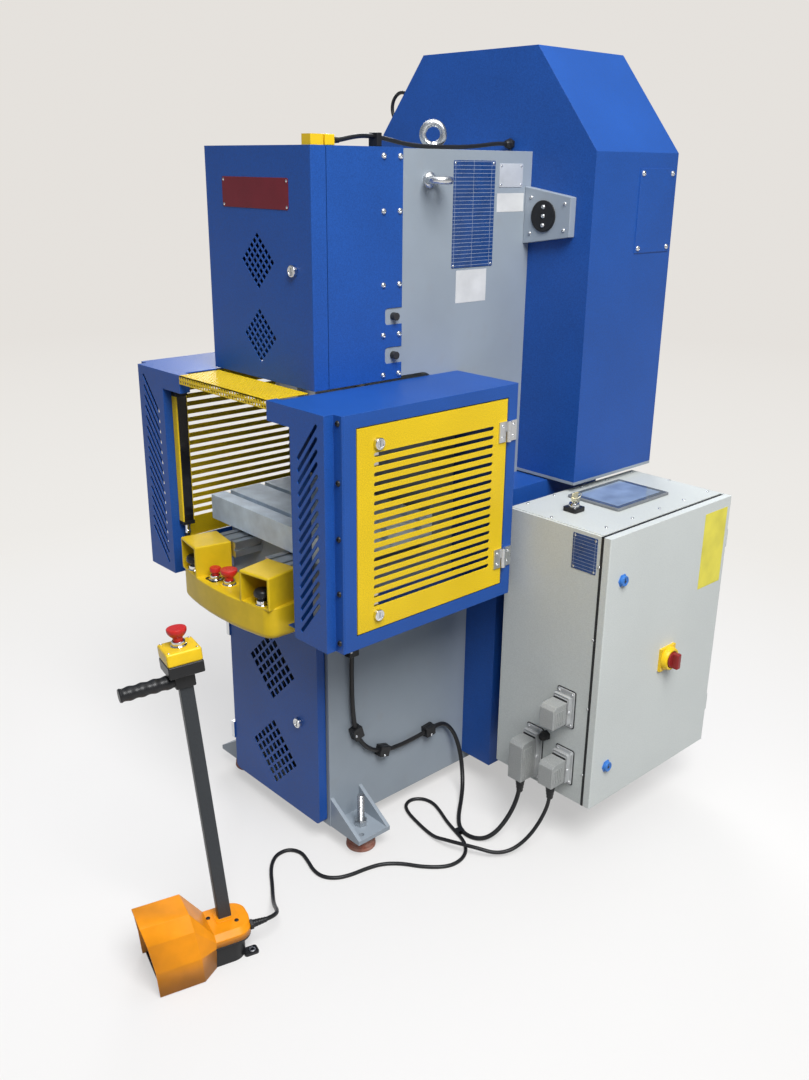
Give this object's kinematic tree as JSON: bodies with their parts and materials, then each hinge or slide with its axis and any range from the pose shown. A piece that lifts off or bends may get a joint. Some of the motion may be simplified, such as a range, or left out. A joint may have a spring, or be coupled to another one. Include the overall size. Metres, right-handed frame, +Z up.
{
  "type": "eccentric press",
  "caption": "C-frame eccentric press with guarded die space, two-hand control desk, belt guard, control cabinet and corded foot switch.",
  "frame": {"origin": "on the floor, under the middle of the whole outfit without its free cords", "axes": "+X to the operator's right, +Y from the operator to the back of the machine, +Z up"},
  "size_m": [1.1489, 1.632, 1.966],
  "materials": {
    "frame_paint": "semi-gloss paint",
    "blue_paint": "textured powder coat",
    "yellow_paint": "gloss powder coat",
    "cabinet_paint": "fine textured powder coat",
    "machined_steel": "ground",
    "bearing_bronze": "turned",
    "grey_iron": "turned",
    "belt_rubber": "matt",
    "motor_body": "painted",
    "bright_zinc": "bright plated",
    "arm_aluminium": "anodised",
    "black_plastic": "matt",
    "red_plastic": "glossy",
    "yellow_plastic": "satin",
    "orange_plastic": "satin",
    "blue_plastic": "satin",
    "pole_paint": "satin"
  },
  "bodies": {
    "machine": {"belt_guard": "blue_paint", "belt_guard_floor": "frame_paint", "bolster_plate": "machined_steel", "button_collars": "bright_zinc", "button_screws": "bright_zinc", "cabinet_shell": "cabinet_paint", "cable_clips": "black_plastic", "cable_connectors": "arm_aluminium", "control_desk": "yellow_paint", "desk_arms": "arm_aluminium", "door_interlock": "yellow_plastic", "encoder_bracket": "frame_paint", "eye_bolts": "bright_zinc", "frame": "frame_paint", "guard_wings": "blue_paint", "head_cover": "blue_paint", "held_cables": "belt_rubber", "left_guard": "blue_paint", "levelling_feet": "machined_steel", "light_curtains": "yellow_paint", "motor": "motor_body", "operator_panel": "black_plastic", "pedal_base": "black_plastic", "pedal_cord": "belt_rubber", "pedal_estop_box": "yellow_plastic", "pedal_hood": "orange_plastic", "pedal_pole": "pole_paint", "ram_gibs": "machined_steel", "rear_enclosure": "blue_paint", "right_guard": "blue_paint", "sensor_cable": "belt_rubber", "shaft_bearings": "bearing_bronze", "top_grille": "yellow_paint", "v_belts": "belt_rubber"},
    "eccentric_shaft": {"eccentric_shaft": "machined_steel"},
    "connecting_rod": {"connecting_rod": "machined_steel"},
    "ram": {"ram": "machined_steel"},
    "flywheel": {"flywheel": "grey_iron"},
    "motor_pulley": {"motor_pulley": "grey_iron"},
    "head_door": {"head_door": "blue_paint"},
    "head_door_lock": {"head_door_lock": "bright_zinc"},
    "lower_door": {"lower_door": "blue_paint"},
    "lower_door_lock": {"lower_door_lock": "bright_zinc"},
    "right_guard_door": {"right_guard_door": "yellow_paint"},
    "left_guard_door": {"left_guard_door": "yellow_paint"},
    "right_upper_latch": {"right_upper_latch": "bright_zinc"},
    "right_lower_latch": {"right_lower_latch": "bright_zinc"},
    "left_upper_latch": {"left_upper_latch": "bright_zinc"},
    "left_lower_latch": {"left_lower_latch": "bright_zinc"},
    "palm_button_left": {"palm_button_left": "black_plastic"},
    "palm_button_right": {"palm_button_right": "black_plastic"},
    "desk_emergency_stop": {"desk_emergency_stop": "red_plastic"},
    "desk_stop_button": {"desk_stop_button": "red_plastic"},
    "cabinet_door": {"cabinet_door": "cabinet_paint"},
    "cabinet_upper_lock": {"cabinet_upper_lock": "blue_plastic"},
    "cabinet_lower_lock": {"cabinet_lower_lock": "blue_plastic"},
    "isolator_knob": {"isolator_knob": "red_plastic"},
    "switch_key": {"switch_key": "machined_steel"},
    "foot_pedal": {"foot_pedal": "black_plastic"},
    "pole_emergency_stop": {"pole_emergency_stop": "red_plastic"}
  },
  "joints": [
    {"name": "shaft_turn", "type": "hinge", "parent": "machine", "child": "eccentric_shaft", "pos_m": [-0.15495, 0.07001, 1.53], "axis": [0, 1, 0], "range_deg": [0, 180]},
    {"name": "rod_swing", "type": "hinge", "parent": "eccentric_shaft", "child": "connecting_rod", "pos_m": [-0.15495, -0.06399, 1.55], "axis": [0, 1, 0], "range_deg": [-180, 0]},
    {"name": "ram_stroke", "type": "slide", "parent": "machine", "child": "ram", "axis": [0, 0, -1], "range_m": [0, 0.04]},
    {"name": "flywheel_spin", "type": "hinge", "parent": "machine", "child": "flywheel", "pos_m": [-0.15495, 0.55401, 1.53], "axis": [0, 1, 0], "continuous": true},
    {"name": "motor_spin", "type": "hinge", "parent": "machine", "child": "motor_pulley", "pos_m": [-0.15495, 0.55401, 1.06], "axis": [0, 1, 0], "continuous": true},
    {"name": "head_door_hinge", "type": "hinge", "parent": "machine", "child": "head_door", "pos_m": [-0.36345, -0.18599, 1.47], "axis": [0, 0, -1], "range_deg": [0, 110]},
    {"name": "head_lock_turn", "type": "hinge", "parent": "head_door", "child": "head_door_lock", "pos_m": [-0.01895, -0.22699, 1.468], "axis": [0, 1, 0], "range_deg": [0, 90]},
    {"name": "lower_door_hinge", "type": "hinge", "parent": "machine", "child": "lower_door", "pos_m": [-0.36145, -0.20249, 0.34], "axis": [0, 0, -1], "range_deg": [0, 110]},
    {"name": "lower_lock_turn", "type": "hinge", "parent": "lower_door", "child": "lower_door_lock", "pos_m": [-0.04295, -0.22899, 0.335], "axis": [0, 1, 0], "range_deg": [0, 90]},
    {"name": "right_guard_hinge", "type": "hinge", "parent": "machine", "child": "right_guard_door", "pos_m": [0.25855, 0.19151, 0.935], "axis": [0, 0, 1], "range_deg": [0, 90]},
    {"name": "left_guard_hinge", "type": "hinge", "parent": "machine", "child": "left_guard_door", "pos_m": [-0.56845, 0.19151, 0.935], "axis": [0, 0, -1], "range_deg": [0, 110]},
    {"name": "right_upper_latch_turn", "type": "hinge", "parent": "right_guard_door", "child": "right_upper_latch", "pos_m": [0.25205, -0.21899, 1.133], "axis": [-1, 0, 0], "range_deg": [0, 90]},
    {"name": "right_lower_latch_turn", "type": "hinge", "parent": "right_guard_door", "child": "right_lower_latch", "pos_m": [0.25205, -0.21899, 0.736], "axis": [1, 0, 0], "range_deg": [0, 90]},
    {"name": "left_upper_latch_turn", "type": "hinge", "parent": "left_guard_door", "child": "left_upper_latch", "pos_m": [-0.56195, -0.21899, 1.133], "axis": [-1, 0, 0], "range_deg": [0, 90]},
    {"name": "left_lower_latch_turn", "type": "hinge", "parent": "left_guard_door", "child": "left_lower_latch", "pos_m": [-0.56195, -0.21899, 0.736], "axis": [1, 0, 0], "range_deg": [0, 90]},
    {"name": "left_palm_press", "type": "slide", "parent": "machine", "child": "palm_button_left", "axis": [0, 0, -1], "range_m": [0, 0.006], "stiffness_N_per_m": 1500, "springref_m": -0.003},
    {"name": "right_palm_press", "type": "slide", "parent": "machine", "child": "palm_button_right", "axis": [0, 0, -1], "range_m": [0, 0.006], "stiffness_N_per_m": 1500, "springref_m": -0.003},
    {"name": "desk_emergency_press", "type": "slide", "parent": "machine", "child": "desk_emergency_stop", "axis": [0, 0, -1], "range_m": [0, 0.006], "stiffness_N_per_m": 1500, "springref_m": -0.003},
    {"name": "desk_stop_press", "type": "slide", "parent": "machine", "child": "desk_stop_button", "axis": [0, 0, -1], "range_m": [0, 0.005], "stiffness_N_per_m": 1500, "springref_m": -0.003},
    {"name": "cabinet_hinge", "type": "hinge", "parent": "machine", "child": "cabinet_door", "pos_m": [0.50905, 0.78951, 0.51], "axis": [0, 0, 1], "range_deg": [0, 120]},
    {"name": "cabinet_upper_lock_turn", "type": "hinge", "parent": "cabinet_door", "child": "cabinet_upper_lock", "pos_m": [0.53005, 0.31701, 0.76], "axis": [1, 0, 0], "range_deg": [0, 90]},
    {"name": "cabinet_lower_lock_turn", "type": "hinge", "parent": "cabinet_door", "child": "cabinet_lower_lock", "pos_m": [0.53005, 0.31701, 0.247], "axis": [1, 0, 0], "range_deg": [0, 90]},
    {"name": "isolator_turn", "type": "hinge", "parent": "cabinet_door", "child": "isolator_knob", "pos_m": [0.53005, 0.54201, 0.483], "axis": [1, 0, 0], "range_deg": [0, 90]},
    {"name": "key_turn", "type": "hinge", "parent": "machine", "child": "switch_key", "pos_m": [0.34005, 0.35701, 0.879], "axis": [0, 0, 1], "range_deg": [0, 90]},
    {"name": "treadle_press", "type": "hinge", "parent": "machine", "child": "foot_pedal", "pos_m": [0.17609, -0.70017, 0.033], "axis": [0.9681, -0.2504, 0], "range_deg": [0, 8], "stiffness_Nm_per_rad": 3, "springref_deg": -11.46},
    {"name": "pole_emergency_press", "type": "slide", "parent": "machine", "child": "pole_emergency_stop", "axis": [0.0946, 0.0456, -0.9945], "range_m": [0, 0.006], "stiffness_N_per_m": 1500, "springref_m": -0.003}
  ],
  "couplings": [
    {"joint": "rod_swing", "follows": "shaft_turn", "ratio": -1},
    {"joint": "ram_stroke", "follows": "shaft_turn", "m_per_rad": 0.012732},
    {"joint": "motor_spin", "follows": "flywheel_spin", "ratio": 5.5263}
  ]
}
